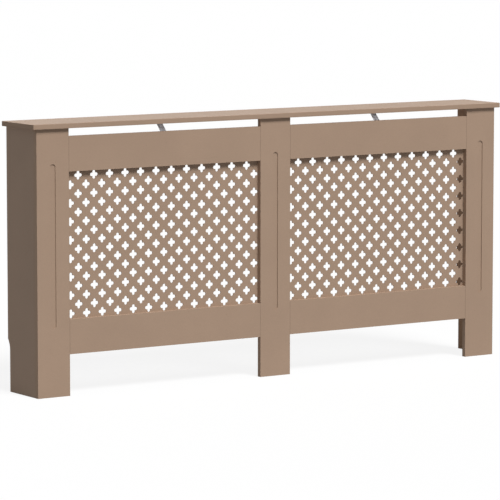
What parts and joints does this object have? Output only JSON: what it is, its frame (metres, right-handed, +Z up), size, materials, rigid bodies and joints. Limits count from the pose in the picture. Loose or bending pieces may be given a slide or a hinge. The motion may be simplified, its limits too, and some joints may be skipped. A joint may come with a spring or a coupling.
{
  "type": "radiator cover cabinet",
  "caption": "Wall-side cabinet that hides a radiator: fluted posts and plain rails frame cross-pierced grilles under an overhanging shelf top with a vent gap.",
  "frame": {"origin": "on the floor, under the middle of the top board", "axes": "+X along the wall to the right of someone facing the grilles, +Y towards the wall, +Z up"},
  "size_m": [1.72, 0.19, 0.815],
  "materials": {
    "mdf": "raw, smooth faces",
    "grille_sheet": "raw thin board",
    "softwood": "planed",
    "zinc_steel": "zinc plated",
    "screw_steel": "zinc plated"
  },
  "bodies": {
    "root": {"top_board": "mdf", "left_side_panel": "mdf", "right_side_panel": "mdf", "left_post": "mdf", "middle_post": "mdf", "right_post": "mdf", "left_upper_rail": "mdf", "right_upper_rail": "mdf", "left_lower_rail": "mdf", "right_lower_rail": "mdf", "left_grille": "grille_sheet", "right_grille": "grille_sheet", "left_corner_batten": "softwood", "right_corner_batten": "softwood", "middle_block": "softwood", "left_strap": "zinc_steel", "right_strap": "zinc_steel", "left_wall_bracket": "zinc_steel", "right_wall_bracket": "zinc_steel", "strap_screws": "screw_steel", "bracket_screws": "screw_steel"}
  },
  "joints": []
}
